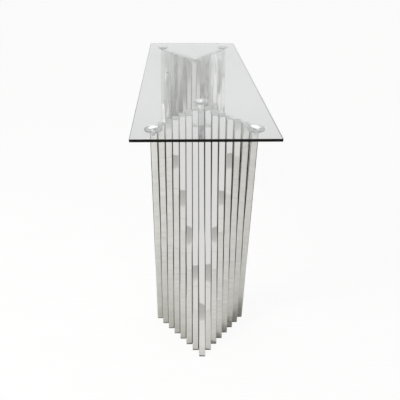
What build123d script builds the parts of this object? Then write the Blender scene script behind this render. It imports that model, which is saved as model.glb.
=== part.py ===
from build123d import *
from math import cos, radians, sin, tan
import os

# Console table: a clear glass top on two pedestals. Each pedestal is a row of leaning rectangular tubes.
# Millimetres. +X runs along the table, +Y to its back, +Z up, from the floor under the middle of the top.
# The right pedestal is drawn, and the left one is its mirror image.

# Glass top
top_length = 1440.0
top_width = 400.0
top_thickness = 8.0
top_corner_radius = 3.0
top_edge_bevel = 1.0
table_height = 770.0

# Tubes, in rows across the table: a centre tube and the same number on each side of it
tubes_each_side = 7
tube_depth = 40.0
tube_width = 20.0
tube_wall = 1.5
tube_corner_radius = 2.0
tube_gap = 0.1

# Fan of the tubes about the tie rod, which lies in from the end of the glass.
# The angles are from upright, and a positive one carries the tube's top towards the table's middle.
rod_inset = 220.0
rod_height = 360.0
rod_diameter = 8.0
rod_clearance = 0.1
centre_angle = 19.0
step_angle = 4.6

# Air between the tubes' heads and the glass
glass_gap = 8.0

# Plugs in the upper ends of the plain tubes
plug_flange = 1.2
plug_depth = 10.0
plug_clearance = 0.1

# Feet in the tubes' lower ends
foot_thickness = 3.0
foot_depth = 12.0
foot_inset = 0.3

# Plates on the upper ends of the centre tube and the two outermost tubes, overhanging at the end of the V
plate_thickness = 3.0
plate_overhang = 19.0
plate_corner_radius = 2.0

# Clear cups that carry the glass. Each lies on a plate's overhang and is held by a head under the plate.
cup_reach = 9.0
cup_diameter = 50.0
cup_seat_diameter = 38.0
cup_lip = 2.0
cup_bulge = 1.0
cup_dish_depth = 7.0
cup_dish_floor_diameter = 5.0
cup_rim_width = 5.0
cup_rim_clearance = 0.1
cup_neck_diameter = 10.0
cup_neck_clearance = 0.1
cup_head_diameter = 15.0
cup_head_length = 9.0
cup_head_tip_diameter = 7.0

# Sizes that follow from the ones above
tube_pitch = tube_width + tube_gap
bore_depth = tube_depth - 2 * tube_wall
bore_width = tube_width - 2 * tube_wall
bore_radius = max(tube_corner_radius - tube_wall, tube_wall / 4)
row_width = 2 * tubes_each_side * tube_pitch + tube_width
rod_offset = top_length / 2 - rod_inset
glass_underside = table_height - top_thickness
heads_level = glass_underside - glass_gap
rows = range(-tubes_each_side, tubes_each_side + 1)
cup_rows = (-tubes_each_side, 0, tubes_each_side)
arms = {"front": [row for row in rows if row < 0], "back": [row for row in rows if row > 0]}


def row_y(row):
    """Distance of a tube's middle from the table's centre line."""
    return row * tube_pitch


def lean(row):
    """Lean of a tube in degrees, largest at the centre of the row."""
    return centre_angle - abs(row) * step_angle


def tube_end(row):
    """Height of a tube's upper end, under its plate or its plug's flange."""
    return heads_level - (plate_thickness if row in cup_rows else plug_flange)


def tube_x(row, height):
    """Place of a tube's axis along the table at a height."""
    return rod_offset - (height - rod_height) * tan(radians(lean(row)))


def level_plane(row, height):
    """Level plane on a tube's axis at a height."""
    return Plane((tube_x(row, height), row_y(row), height))


def level_length(row, depth):
    """Length of the level cut across a bar that leans with a tube."""
    return depth / cos(radians(lean(row)))


def draw_section(row, depth, width, radius, mode=Mode.ADD):
    """Level section of a bar that leans with a tube."""
    RectangleRounded(level_length(row, depth), width, radius, mode=mode)


def raise_section(row, rise):
    """Carry the last section up along the tube's axis."""
    angle = radians(lean(row))
    extrude(amount=rise / cos(angle), dir=(-sin(angle), 0, cos(angle)))


def make_tube(row):
    """Rectangular tube, cut level at both ends and drilled for the tie rod."""
    with BuildPart() as tube:
        with BuildSketch(level_plane(row, foot_thickness)):
            draw_section(row, tube_depth, tube_width, tube_corner_radius)
            draw_section(row, bore_depth, bore_width, bore_radius, mode=Mode.SUBTRACT)
        raise_section(row, tube_end(row) - foot_thickness)
        with Locations((rod_offset, row_y(row), rod_height)):
            Cylinder(
                radius=rod_diameter / 2 + rod_clearance,
                height=tube_width + tube_gap,
                rotation=(90, 0, 0),
                mode=Mode.SUBTRACT,
            )
    return tube.part


def draw_fitting_body(row):
    """Section of a plug's or foot's body, a close fit in the tube's bore."""
    draw_section(row, bore_depth - 2 * plug_clearance, bore_width - 2 * plug_clearance, bore_radius)


def make_top_plug(row):
    """Upper plug: a flange on the tube's end and a body in its bore."""
    with BuildPart() as plug:
        with BuildSketch(level_plane(row, tube_end(row))):
            draw_section(row, tube_depth, tube_width, tube_corner_radius)
        raise_section(row, plug_flange)
        with BuildSketch(level_plane(row, tube_end(row) - plug_depth)):
            draw_fitting_body(row)
        raise_section(row, plug_depth)
    return plug.part


def make_foot(row):
    """Lower plug: a flange between the tube and the floor, and a body in the tube's bore."""
    with BuildPart() as foot:
        with BuildSketch(level_plane(row, 0)):
            foot_width = tube_width - 2 * foot_inset
            draw_section(row, tube_depth - 2 * foot_inset, foot_width, tube_corner_radius)
        raise_section(row, foot_thickness)
        with BuildSketch(level_plane(row, foot_thickness)):
            draw_fitting_body(row)
        raise_section(row, foot_depth)
    return foot.part


def beyond_axis(row, height, distance):
    """Point at a distance from a tube's axis, towards the end of the row's V."""
    outward = -1 if row == 0 else 1
    return (tube_x(row, height) + outward * distance, row_y(row), height)


def cup_place(row):
    """Middle of a cup's seat on its plate."""
    return beyond_axis(row, heads_level, level_length(row, tube_depth) / 2 + cup_reach)


def make_plate(row):
    """Plate that closes the tube and overhangs it, with a hole for the neck of a cup."""
    plate_length = level_length(row, tube_depth) + plate_overhang
    with BuildPart() as plate:
        with BuildSketch(Plane(beyond_axis(row, tube_end(row), plate_overhang / 2))):
            RectangleRounded(plate_length, tube_width, plate_corner_radius)
        extrude(amount=plate_thickness)
        with Locations(cup_place(row)):
            Cylinder(
                radius=cup_neck_diameter / 2 + cup_neck_clearance,
                height=3 * plate_thickness,
                mode=Mode.SUBTRACT,
            )
    return plate.part


def make_cup(row):
    """Round cup: a conical dish under the glass, a rounded back, a neck through the plate and a head."""
    lip = cup_diameter / 2
    rim = lip - cup_rim_width
    dish_floor = cup_dish_floor_diameter / 2
    seat = cup_seat_diameter / 2
    neck = cup_neck_diameter / 2
    head = cup_head_diameter / 2
    tip = cup_head_tip_diameter / 2
    lip_top = glass_gap - cup_rim_clearance
    lip_base = lip_top - cup_lip
    dish_base = lip_top - cup_dish_depth
    bulge = ((seat + lip) / 2 + cup_bulge, lip_base / 2 - cup_bulge)
    head_top = -plate_thickness - cup_neck_clearance
    head_end = head_top - cup_head_length
    with BuildPart() as cup:
        with BuildSketch(Plane(cup_place(row), x_dir=(1, 0, 0), z_dir=(0, -1, 0))):
            with BuildLine():
                Polyline(
                    (0, dish_base),
                    (0, head_end),
                    (tip, head_end),
                    (head, head_top),
                    (neck, head_top),
                    (neck, 0),
                    (seat, 0),
                )
                ThreePointArc((seat, 0), bulge, (lip, lip_base))
                Polyline(
                    (lip, lip_base),
                    (lip, lip_top),
                    (rim, lip_top),
                    (dish_floor, dish_base),
                    (0, dish_base),
                )
            make_face()
        revolve(axis=Axis(cup_place(row), (0, 0, 1)))
    return cup.part


def save(piece, name):
    """Name a piece and write it."""
    piece.label = name
    export_step(piece, f"parts/{name}.step")


def save_pair(piece, name):
    """Write a piece of the right pedestal and its mirror image in the left one."""
    save(piece, f"right_{name}")
    save(mirror(piece, about=Plane.YZ), f"left_{name}")


def save_group(pieces, name):
    """Write like pieces as one group of separate solids in each pedestal."""
    with BuildPart() as group:
        for piece in pieces:
            add(piece)
    save_pair(group.part, name)


os.makedirs("parts", exist_ok=True)

with BuildPart() as glass_top:
    with BuildSketch(Plane.XY.offset(glass_underside)):
        RectangleRounded(top_length, top_width, top_corner_radius)
    extrude(amount=top_thickness)
    flat_faces = glass_top.faces().filter_by(Axis.Z)
    chamfer(flat_faces.edges(), top_edge_bevel)
save(glass_top.part, "glass_top")

for row in rows:
    save_pair(make_tube(row), f"tube_{row + tubes_each_side + 1:02d}")

with BuildPart() as tie_rod:
    with Locations((rod_offset, 0, rod_height)):
        Cylinder(radius=rod_diameter / 2, height=row_width, rotation=(90, 0, 0))
save_pair(tie_rod.part, "tie_rod")

for arm_name, arm in arms.items():
    plain_rows = [row for row in arm if row not in cup_rows]
    save_group([make_top_plug(row) for row in plain_rows], f"{arm_name}_top_plugs")
    save_group([make_foot(row) for row in arm], f"{arm_name}_feet")
save_pair(make_foot(0), "centre_foot")

for place_name, row in zip(("front", "centre", "back"), cup_rows):
    save_pair(make_plate(row), f"{place_name}_cap_plate")
    save_pair(make_cup(row), f"{place_name}_cup")
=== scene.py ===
import math

import bpy
from mathutils import Matrix, Vector

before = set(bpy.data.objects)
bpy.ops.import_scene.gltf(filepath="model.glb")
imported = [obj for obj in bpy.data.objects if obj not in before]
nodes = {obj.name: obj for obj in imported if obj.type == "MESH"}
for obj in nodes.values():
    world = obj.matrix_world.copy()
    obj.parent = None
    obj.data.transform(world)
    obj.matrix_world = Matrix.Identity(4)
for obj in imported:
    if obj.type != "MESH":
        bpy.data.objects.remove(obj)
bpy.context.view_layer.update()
scene = bpy.context.scene
scene.view_settings.view_transform = "Standard"

# Console table: a clear glass top on two rows of leaning steel tubes. The solids are shown as they are.
# This script gives them materials, a camera and a studio, in metres and in the frame of the solids.

WHITE = (1.0, 1.0, 1.0)

# Camera: place in metres, turns in radians, focal length in pixels of the photograph,
# sensor width in millimetres, and the nearest and furthest distance that it shows in metres
CAMERA_PLACE = Vector((2.1191, -0.07499, 1.24779))
CAMERA_YAW = 0.0425
CAMERA_PITCH = 0.4347
CAMERA_ROLL = 0.0097
FOCAL_PIXELS = 571.42
PHOTO_WIDTH = 400
SENSOR_WIDTH = 36.0
CLIP_START = 0.05
CLIP_END = 100.0


def make_camera():
    """Camera at the photograph's viewing angle, off the right end of the table."""
    data = bpy.data.cameras.new("camera")
    data.sensor_width = SENSOR_WIDTH
    data.lens = FOCAL_PIXELS / PHOTO_WIDTH * SENSOR_WIDTH
    data.clip_start = CLIP_START
    data.clip_end = CLIP_END
    level_share = math.cos(CAMERA_PITCH)
    ahead_x = -level_share * math.cos(CAMERA_YAW)
    ahead_y = level_share * math.sin(CAMERA_YAW)
    ahead_z = -math.sin(CAMERA_PITCH)
    ahead = Vector((ahead_x, ahead_y, ahead_z))
    right = ahead.cross(Vector((0, 0, 1))).normalized()
    up = right.cross(ahead)
    turned_right = math.cos(CAMERA_ROLL) * right + math.sin(CAMERA_ROLL) * up
    turned_up = math.cos(CAMERA_ROLL) * up - math.sin(CAMERA_ROLL) * right
    turn = Matrix((turned_right, turned_up, -ahead)).transposed().to_4x4()
    camera = bpy.data.objects.new("camera", data)
    camera.matrix_world = Matrix.Translation(CAMERA_PLACE) @ turn
    scene.collection.objects.link(camera)
    scene.camera = camera


# Sockets of a Mix node that mixes colours
MIX_FACTOR = 0
MIX_FIRST = 6
MIX_SECOND = 7
MIX_RESULT = 2

# Roughness of a noise where its material doesn't give one
NOISE_ROUGHNESS = 0.55


def opaque(colour):
    """Colour with full opacity, as sockets take it."""
    return (*colour, 1.0)


class Tree:
    """A material's or the world's node tree, with short ways to add and join nodes."""

    def __init__(self, owner):
        owner.use_nodes = True
        self.nodes = owner.node_tree.nodes
        self.links = owner.node_tree.links
        self.nodes.clear()

    def add(self, kind, **values):
        """New node. Each value goes to the setting of that name, or else to the input of that name."""
        node = self.nodes.new("ShaderNode" + kind)
        for key, value in values.items():
            if hasattr(node, key):
                setattr(node, key, value)
            else:
                self.set_input(node, key.replace("_", " "), value)
        return node

    def set_input(self, node, name, value):
        """Feed the input of this name that is in use."""
        for socket in node.inputs:
            if socket.name.lower() == name.lower() and socket.enabled:
                self.feed(socket, value)
                return
        raise KeyError(name)

    def feed(self, socket, value):
        """Link an input to another node's output, or give it a plain value."""
        if isinstance(value, bpy.types.NodeSocket):
            self.links.new(value, socket)
        else:
            socket.default_value = value

    def math(self, operation, first, second=0.0):
        """Result of one operation on one or two numbers."""
        node = self.add("Math", operation=operation)
        self.feed(node.inputs[0], first)
        self.feed(node.inputs[1], second)
        return node.outputs[0]

    def remap(self, value, source, result):
        """Value carried over from one range to another, and held at the ends."""
        node = self.add("MapRange")
        for socket, number in zip(node.inputs, (value, *source, *result)):
            self.feed(socket, number)
        return node.outputs[0]

    def part(self, vector, axis):
        """One of a vector's three numbers."""
        return self.add("SeparateXYZ", Vector=vector).outputs[axis]

    def noise(self, place, scale, detail, roughness=NOISE_ROUGHNESS):
        """Noise with this many cells to the metre."""
        node = self.add("TexNoise", Vector=place, Scale=scale, Detail=detail, Roughness=roughness)
        return node.outputs[0]

    def streaks(self, place, cells, detail, roughness=NOISE_ROUGHNESS):
        """Noise with its own number of cells to the metre along each axis."""
        stretched = self.add("Mapping", Vector=place, Scale=cells).outputs[0]
        return self.noise(stretched, 1.0, detail, roughness)

    def mix(self, blend_type, factor, first, second):
        """Two colours mixed in one of Blender's ways."""
        node = self.add("Mix", data_type="RGBA", blend_type=blend_type)
        self.feed(node.inputs[MIX_FACTOR], factor)
        self.feed(node.inputs[MIX_FIRST], first)
        self.feed(node.inputs[MIX_SECOND], second)
        return node.outputs[MIX_RESULT]

    def tint(self, factor, dark, light):
        """Colour that goes from dark to light as the factor goes from 0 to 1."""
        return self.mix("MIX", factor, opaque(dark), opaque(light))

    def product(self, first, second):
        """Two colours multiplied."""
        return self.mix("MULTIPLY", 1.0, first, second)

    def bump(self, height, strength, distance, normal=None):
        """Surface direction with fine relief, on top of another one where that is given."""
        node = self.add("Bump", Strength=strength, Distance=distance, Height=height)
        if normal is not None:
            self.set_input(node, "Normal", normal)
        return node.outputs[0]

    def glow(self, strength, colour=opaque(WHITE)):
        """Light that a sheet gives off, white where no colour is given."""
        return self.add("Emission", Color=colour, Strength=strength)

    def blend(self, factor, first, second):
        """First shader where the factor is 0, second where it is 1."""
        node = self.add("MixShader")
        self.feed(node.inputs[0], factor)
        self.feed(node.inputs[1], first.outputs[0])
        self.feed(node.inputs[2], second.outputs[0])
        return node

    def output(self, shader, kind="OutputMaterial", volume=None):
        """End of the tree."""
        node = self.add(kind)
        self.links.new(shader.outputs[0], node.inputs["Surface"])
        if volume is not None:
            self.links.new(volume.outputs[0], node.inputs["Volume"])


def new_tree(name):
    """New material and its node tree."""
    material = bpy.data.materials.new(name)
    return material, Tree(material)


def place_on_table(tree):
    """Place of a point in the frame of the solids, since every solid's object sits at the origin."""
    return tree.add("TexCoord").outputs["Object"]


def steel_shader(tree, colour, rough, normal):
    """Bare metal."""
    return tree.add("BsdfPrincipled", Base_Color=colour, Metallic=1.0, Roughness=rough, Normal=normal)


# Painted shade in the joints between the tubes: how near in metres a neighbour counts, in how many
# samples it is looked for, the open shares at which the shade is darkest and gone, and the darkest shade.
# Towards the tubes' heads, between two heights in metres, the painted shade fades by a share.
JOINT_REACH = 0.004
JOINT_SAMPLES = 8
JOINT_OPEN_SHARES = (0.6, 1.0)
JOINT_SHADE = (0.36, 0.36, 0.36)
JOINT_FADE_HEIGHTS = (0.69, 0.72)
JOINT_FADE_SHARE = 0.75


def painted_joint_shade(tree, place):
    """Painted shade: white on a tube's open faces and darker where its neighbours meet it."""
    open_share = tree.add("AmbientOcclusion", samples=JOINT_SAMPLES, Distance=JOINT_REACH).outputs["AO"]
    height = tree.part(place, "Z")
    unshaded_face = tree.remap(open_share, source=JOINT_OPEN_SHARES, result=(0.0, 1.0))
    unshaded_head = tree.remap(height, source=JOINT_FADE_HEIGHTS, result=(0.0, JOINT_FADE_SHARE))
    unshaded = tree.math("MAXIMUM", unshaded_face, unshaded_head)
    return tree.tint(unshaded, dark=JOINT_SHADE, light=WHITE)


def polished_steel(name, angle):
    """Mirror-polished tube: faint waves in its wall, lines along it, hand marks and painted joint shade.
    """
    material, tree = new_tree(name)
    place = place_on_table(tree)
    turn = tree.add("VectorRotate", rotation_type="Y_AXIS", Vector=place, Angle=angle)
    along_tube = turn.outputs[0]
    waves = tree.streaks(along_tube, cells=(9.0, 9.0, 3.5), detail=2.0)
    lines = tree.streaks(along_tube, cells=(900.0, 900.0, 18.0), detail=4.0)
    marks = tree.streaks(along_tube, cells=(30.0, 30.0, 12.0), detail=5.0)
    polish = tree.tint(marks, dark=(0.69, 0.685, 0.675), light=(0.725, 0.72, 0.71))
    # The polish colour is multiplied by painted shade where the tubes meet.
    colour = tree.product(polish, painted_joint_shade(tree, place))
    rough_marks = tree.remap(marks, source=(0.35, 0.75), result=(0.006, 0.026))
    rough_lines = tree.remap(lines, source=(0.3, 0.8), result=(0.0, 0.01))
    rough = tree.math("ADD", rough_marks, rough_lines)
    wavy = tree.bump(waves, strength=0.5, distance=0.004)
    normal = tree.bump(lines, strength=0.03, distance=0.0002, normal=wavy)
    tree.output(steel_shader(tree, colour, rough, normal))
    return material


def ground_steel(name, cells, detail, dark, light, rough_range, strength, distance):
    """Steel ground in fine strokes, with strokes of their own shade, gloss and relief."""
    material, tree = new_tree(name)
    strokes = tree.streaks(place_on_table(tree), cells, detail)
    colour = tree.tint(strokes, dark, light)
    rough = tree.remap(strokes, source=(0.3, 0.7), result=rough_range)
    normal = tree.bump(strokes, strength, distance)
    tree.output(steel_shader(tree, colour, rough, normal))
    return material


def moulded_plastic(name, dark, light, rough_range):
    """Satin moulded plastic with a fine grain and faint clouds."""
    material, tree = new_tree(name)
    place = place_on_table(tree)
    grain = tree.noise(place, scale=1600.0, detail=2.0)
    clouds = tree.noise(place, scale=60.0, detail=4.0)
    shader = tree.add(
        "BsdfPrincipled",
        Base_Color=tree.tint(clouds, dark, light),
        Roughness=tree.remap(grain, source=(0.3, 0.7), result=rough_range),
        Normal=tree.bump(grain, strength=0.25, distance=0.0002),
        Specular_IOR_Level=0.15,
    )
    tree.output(shader)
    return material


def clear_glass(name):
    """Float glass, green through its edges, with a trace of dust on its faces."""
    material, tree = new_tree(name)
    dust = tree.noise(place_on_table(tree), scale=180.0, detail=5.0)
    shader = tree.add(
        "BsdfPrincipled",
        Base_Color=opaque(WHITE),
        Roughness=tree.remap(dust, source=(0.55, 0.8), result=(0.0, 0.03)),
        IOR=1.52,
        Transmission_Weight=1.0,
    )
    green = tree.add("VolumeAbsorption", Color=opaque((0.62, 0.83, 0.79)), Density=6.0)
    tree.output(shader, volume=green)
    return material


def clear_plastic(name):
    """Clear soft plastic of the cups, glossy, slightly uneven and with a little haze."""
    material, tree = new_tree(name)
    place = place_on_table(tree)
    haze = tree.noise(place, scale=260.0, detail=3.0)
    dents = tree.noise(place, scale=140.0, detail=2.0)
    shader = tree.add(
        "BsdfPrincipled",
        Base_Color=opaque((0.97, 0.975, 0.98)),
        Roughness=tree.remap(haze, source=(0.35, 0.75), result=(0.02, 0.09)),
        IOR=1.45,
        Transmission_Weight=0.72,
        Normal=tree.bump(dents, strength=0.12, distance=0.0006),
    )
    tree.output(shader)
    return material


# The tubes' leans, as in the solids: degrees from upright at the centre tube, and the change from tube
# to tube. A row's tubes are numbered from 1.
CENTRE_ANGLE = 19.0
ANGLE_STEP = 4.6
CENTRE_TUBE = 8


def tube_steel(name, steels):
    """Steel of a tube, made once for the tubes of a row that lean alike."""
    side, _, number = name.split("_")
    from_centre = abs(int(number) - CENTRE_TUBE)
    steel_name = f"polished_steel_{side}_{from_centre}"
    if steel_name not in steels:
        lean = CENTRE_ANGLE - ANGLE_STEP * from_centre
        direction = 1 if side == "right" else -1
        steels[steel_name] = polished_steel(steel_name, math.radians(direction * lean))
    return steels[steel_name]


def dress():
    """Give each solid its material by the last word of its name, which is a number for a tube."""
    plug_plastic = moulded_plastic(
        "grey_plastic",
        dark=(0.72, 0.725, 0.73),
        light=(0.8, 0.805, 0.81),
        rough_range=(0.34, 0.5),
    )
    foot_plastic = moulded_plastic(
        "black_plastic",
        dark=(0.012, 0.012, 0.013),
        light=(0.03, 0.03, 0.032),
        rough_range=(0.38, 0.55),
    )
    rod_steel = ground_steel(
        "rod_steel",
        cells=(700.0, 700.0, 60.0),
        detail=4.0,
        dark=(0.5, 0.5, 0.49),
        light=(0.64, 0.64, 0.63),
        rough_range=(0.2, 0.34),
        strength=0.2,
        distance=0.0003,
    )
    plate_steel = ground_steel(
        "polished_steel_plates",
        cells=(40.0, 1500.0, 1500.0),
        detail=3.0,
        dark=(0.8, 0.8, 0.79),
        light=(0.88, 0.88, 0.87),
        rough_range=(0.26, 0.4),
        strength=0.15,
        distance=0.0002,
    )
    finishes = {
        "top": clear_glass("clear_glass"),
        "cup": clear_plastic("clear_plastic"),
        "plugs": plug_plastic,
        "feet": foot_plastic,
        "foot": foot_plastic,
        "plate": plate_steel,
        "rod": rod_steel,
    }
    steels = {}
    for name, node in nodes.items():
        last_word = name.split("_")[-1]
        if last_word in finishes:
            material = finishes[last_word]
        else:
            material = tube_steel(name, steels)
        node.data.materials.clear()
        node.data.materials.append(material)


# World: plain light on the table. Rays from a mirror, or through glass, meet a shade that changes between
# two heights of their direction, where 0 is level and 1 straight up.
AMBIENT_COLOUR = (1.0, 0.998, 0.98)
AMBIENT_STRENGTH = 0.48
MIRRORED_HEIGHTS = (0.1, 0.18)
MIRRORED_SHADES = (1.0, 0.66)
THROUGH_HEIGHTS = (0.26, 0.32)
THROUGH_SHADES = (1.1, 0.78)


def make_world():
    """White behind the table. Mirrors and glass see white near the horizon and grey above it."""
    world = bpy.data.worlds.new("studio")
    scene.world = world
    tree = Tree(world)
    path = tree.add("LightPath").outputs
    direction = tree.add("TexCoord").outputs["Generated"]
    height = tree.part(direction, "Z")
    mirrored_shade = tree.remap(height, MIRRORED_HEIGHTS, MIRRORED_SHADES)
    through_shade = tree.remap(height, THROUGH_HEIGHTS, THROUGH_SHADES)
    ambient = tree.add("Background", Color=opaque(AMBIENT_COLOUR), Strength=AMBIENT_STRENGTH)
    mirrored = tree.add("Background", Color=mirrored_shade, Strength=1.0)
    through = tree.add("Background", Color=through_shade, Strength=1.0)
    white = tree.add("Background", Color=opaque(WHITE), Strength=1.0)
    by_mirror = tree.blend(path["Is Glossy Ray"], ambient, mirrored)
    by_glass = tree.blend(path["Is Transmission Ray"], by_mirror, through)
    tree.output(tree.blend(path["Is Camera Ray"], by_glass, white), kind="OutputWorld")


# Kinds of ray that a sheet of the studio may be met by
RAY_KINDS = ("camera", "diffuse", "glossy", "transmission", "volume_scatter", "shadow")
MIRRORED = ("glossy",)
MIRRORED_OR_THROUGH = ("glossy", "transmission")


def upright(x, y, z):
    """Corners of an upright sheet across the table, at x, between two places on y and two heights."""
    y_low, y_high = y
    z_low, z_high = z
    return [(x, y_low, z_low), (x, y_high, z_low), (x, y_high, z_high), (x, y_low, z_high)]


def level(z, x, y):
    """Corners of a level sheet, at height z, between two places on x and two on y."""
    x_low, x_high = x
    y_low, y_high = y
    return [(x_low, y_low, z), (x_high, y_low, z), (x_high, y_high, z), (x_low, y_high, z)]


def make_sheet(name, corners, material, met_by=RAY_KINDS):
    """Flat sheet of the studio, and the kinds of ray that meet it."""
    mesh = bpy.data.meshes.new(name)
    mesh.from_pydata(corners, [], [(0, 1, 2, 3)])
    mesh.materials.append(material)
    sheet = bpy.data.objects.new(name, mesh)
    scene.collection.objects.link(sheet)
    for kind in RAY_KINDS:
        setattr(sheet, "visible_" + kind, kind in met_by)


# Floor: how far it goes each way in metres, its colours, and how near the table in metres it gets painted
# shade.
# The shares are how much of it rays through glass see as plain grey, and the camera as plain white.
FLOOR_REACH = 30.0
FLOOR_DARK = (0.81, 0.81, 0.776)
FLOOR_LIGHT = (0.99, 0.99, 0.968)
FLOOR_SHADED = (0.76, 0.75, 0.72)
FLOOR_SHADE_REACH = 0.7
FLOOR_THROUGH_GLASS = (0.775, 0.765, 0.77)
FLOOR_GREY_SHARE = 0.85
FLOOR_WHITE_SHARE = 0.93


def make_floor():
    """Pale streaked floor. To the camera it is white with a trace of shadow, and through glass grey."""
    material, tree = new_tree("pale_floor")
    place = place_on_table(tree)
    broad = tree.streaks(place, cells=(26.0, 3.0, 1.0), detail=5.0, roughness=0.7)
    fine = tree.streaks(place, cells=(64.0, 5.0, 1.0), detail=4.0, roughness=0.7)
    broad_share = tree.remap(broad, source=(0.3, 0.7), result=(0.0, 0.5))
    fine_share = tree.remap(fine, source=(0.38, 0.58), result=(0.0, 0.5))
    streaks = tree.math("ADD", broad_share, fine_share)
    colour = tree.tint(streaks, FLOOR_DARK, FLOOR_LIGHT)
    # Painted shade: the floor's colour darkens where the table closes it in.
    open_share = tree.add("AmbientOcclusion", Distance=FLOOR_SHADE_REACH).outputs["AO"]
    clear = tree.remap(open_share, source=(0.5, 1.0), result=(0.0, 1.0))
    painted_table_shade = tree.tint(clear, FLOOR_SHADED, WHITE)
    lit = tree.add("BsdfDiffuse", Color=tree.product(colour, painted_table_shade))
    path = tree.add("LightPath").outputs
    grey_share = tree.math("MULTIPLY", path["Is Transmission Ray"], FLOOR_GREY_SHARE)
    white_share = tree.math("MULTIPLY", path["Is Camera Ray"], FLOOR_WHITE_SHARE)
    through = tree.blend(grey_share, lit, tree.glow(1.0, opaque(FLOOR_THROUGH_GLASS)))
    tree.output(tree.blend(white_share, through, tree.glow(1.0)))
    whole = (-FLOOR_REACH, FLOOR_REACH)
    make_sheet("floor", level(z=0.0, x=whole, y=whole), material)


def shaded_card(name, axis, shades, reach):
    """Glowing card whose colour changes along an axis. Shades are pairs of distance and colour."""
    material, tree = new_tree(name)
    along = tree.part(place_on_table(tree), axis)
    ramp = tree.add("ValToRGB")
    tree.feed(ramp.inputs[0], tree.math("DIVIDE", tree.math("ABSOLUTE", along), reach))
    elements = ramp.color_ramp.elements
    while len(elements) < len(shades):
        elements.new(0.5)
    for element, (distance, colour) in zip(elements, shades):
        element.position = distance / reach
        element.color = opaque(colour)
    tree.output(tree.glow(1.0, ramp.outputs[0]))
    return material


def plain_card(name, strength):
    """Evenly glowing card."""
    material, tree = new_tree(name)
    tree.output(tree.glow(strength))
    return material


def near_card(name, strength, reach):
    """Glowing card for what mirrors it from within a reach in metres, and clear from further off."""
    material, tree = new_tree(name)
    near = tree.math("LESS_THAN", tree.add("LightPath").outputs["Ray Length"], reach)
    tree.output(tree.blend(near, tree.add("BsdfTransparent"), tree.glow(strength)))
    return material


# Counts along a light's path are compared half a step away from whole numbers
HALF_STEP = 0.5


def glass_card(name, strength, crossings):
    """Card that glows for mirrored paths with at least so many crossings of the glass, else clear."""
    material, tree = new_tree(name)
    path = tree.add("LightPath").outputs
    mirrored = tree.math("GREATER_THAN", path["Glossy Depth"], HALF_STEP)
    crossed = tree.math("GREATER_THAN", path["Transmission Depth"], crossings - HALF_STEP)
    direct = tree.math("LESS_THAN", path["Diffuse Depth"], HALF_STEP)
    share = tree.math("MULTIPLY", tree.math("MULTIPLY", mirrored, crossed), direct)
    tree.output(tree.blend(share, tree.add("BsdfTransparent"), tree.glow(strength)))
    return material


# Board off the right end of the table, white over a shaded foot: its place, its size and the heights
# of its shades in metres. In the names of cards, left and right are as the camera sees them, -Y and +Y.
BOARD_X = 1.75
BOARD_HALF_WIDTH = 1.2
BOARD_HEIGHT = 1.11
BOARD_SHADES = (
    (0.14, (0.97, 0.965, 0.94)),
    (0.158, (0.72, 0.715, 0.695)),
    (0.19, (0.645, 0.645, 0.625)),
    (0.2315, (0.595, 0.595, 0.575)),
    (0.2325, WHITE),
)

# Dark strips with soft edges just over the floor, one along each side of the table: their height,
# and the distances of their edges and shades from the table's middle, in metres
STRIP_Z = 0.002
STRIP_START = 0.4
STRIP_END = 1.6
STRIP_PALE = (0.7, 0.7, 0.69)
STRIP_DARK = (0.03, 0.03, 0.03)
STRIP_SHADES = (
    (STRIP_START, STRIP_PALE),
    (0.48, STRIP_DARK),
    (1.0, STRIP_DARK),
    (STRIP_END, STRIP_PALE),
)

# Cards that show only in what lies under the glass: name, corners, strength, least number of times
# that a path crossed the glass, and the rays that meet it
GLASS_CARDS = (
    ("left_window", upright(x=1.74, y=(-0.2, -0.186), z=(0.7, 1.3)), 1.9, 2, MIRRORED),
    ("right_window", upright(x=1.74, y=(0.24, 0.252), z=(0.3, 1.0)), 1.3, 2, MIRRORED),
    ("left_shade", upright(x=1.745, y=(-0.3, -0.176), z=(1.0, 1.6)), 0.7, 3, MIRRORED_OR_THROUGH),
    ("right_shade", upright(x=1.745, y=(0.306, 0.45), z=(0.95, 1.6)), 0.55, 3, MIRRORED_OR_THROUGH),
    ("right_low_shade", upright(x=1.745, y=(0.306, 0.45), z=(0.3, 0.95)), 0.3, 2, MIRRORED),
    ("right_sliver", upright(x=1.735, y=(0.275, 0.298), z=(0.65, 0.92)), 0.25, 2, MIRRORED),
    ("dark_panel", upright(x=2.12, y=(0.045, 0.105), z=(1.245, 1.343)), 0.02, 3, MIRRORED_OR_THROUGH),
    ("grey_panel", upright(x=2.12, y=(0.045, 0.105), z=(1.343, 1.5)), 0.58, 3, MIRRORED_OR_THROUGH),
    ("overhead_glint", level(z=2.5, x=(-1.5, 0.4), y=(-0.5, 0.7)), 20.0, 3, MIRRORED_OR_THROUGH),
)


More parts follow.
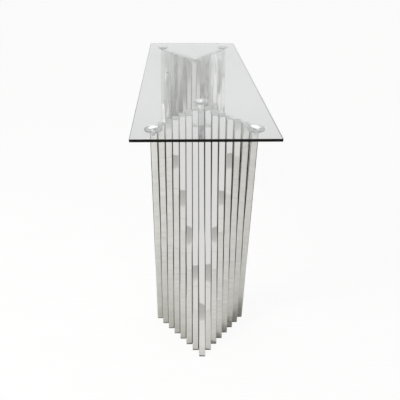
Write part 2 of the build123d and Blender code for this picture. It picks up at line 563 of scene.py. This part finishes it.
def make_cards():
    """What the polished steel mirrors besides the floor and the world. It shows in mirrors alone."""
    board = shaded_card("front_board", "Z", BOARD_SHADES, BOARD_HEIGHT)
    board_width = (-BOARD_HALF_WIDTH, BOARD_HALF_WIDTH)
    make_sheet("front_board", upright(BOARD_X, y=board_width, z=(0.0, BOARD_HEIGHT)), board, MIRRORED)

    strip = shaded_card("dark_strip", "Y", STRIP_SHADES, STRIP_END)
    strip_length = (-STRIP_END, STRIP_END)
    left_corners = level(STRIP_Z, x=strip_length, y=(-STRIP_END, -STRIP_START))
    right_corners = level(STRIP_Z, x=strip_length, y=(STRIP_START, STRIP_END))
    make_sheet("left_strip", left_corners, strip, MIRRORED)
    make_sheet("right_strip", right_corners, strip, MIRRORED)

    line = plain_card("thin_line", strength=0.5)
    make_sheet("thin_line", upright(x=1.5, y=(-0.35, 0.35), z=(0.139, 0.1402)), line, MIRRORED)
    flag = near_card("edge_flag", strength=0.3, reach=0.15)
    make_sheet("edge_flag", upright(x=0.8, y=(-0.3, 0.3), z=(0.7, 0.76)), flag, MIRRORED)

    for name, corners, strength, crossings, met_by in GLASS_CARDS:
        make_sheet(name, corners, glass_card(name, strength, crossings), met_by)


# Lamp: its place, what it points at and its width in metres, and its power in watts
LAMP_PLACE = Vector((1.5, -1.58, 2.15))
LAMP_TARGET = Vector((0.5, 0.0, 0.2))
LAMP_WIDTH = 0.8
LAMP_POWER = 49.0


def make_lamp():
    """Soft round lamp, itself unseen in mirrors and glass."""
    data = bpy.data.lights.new("soft_key", "AREA")
    data.shape = "DISK"
    data.size = LAMP_WIDTH
    data.energy = LAMP_POWER
    lamp = bpy.data.objects.new("soft_key", data)
    lamp.location = LAMP_PLACE
    lamp.rotation_euler = (LAMP_TARGET - LAMP_PLACE).to_track_quat("-Z", "Y").to_euler()
    lamp.visible_camera = False
    lamp.visible_glossy = False
    lamp.visible_transmission = False
    scene.collection.objects.link(lamp)


make_camera()
dress()
make_world()
make_floor()
make_cards()
make_lamp()
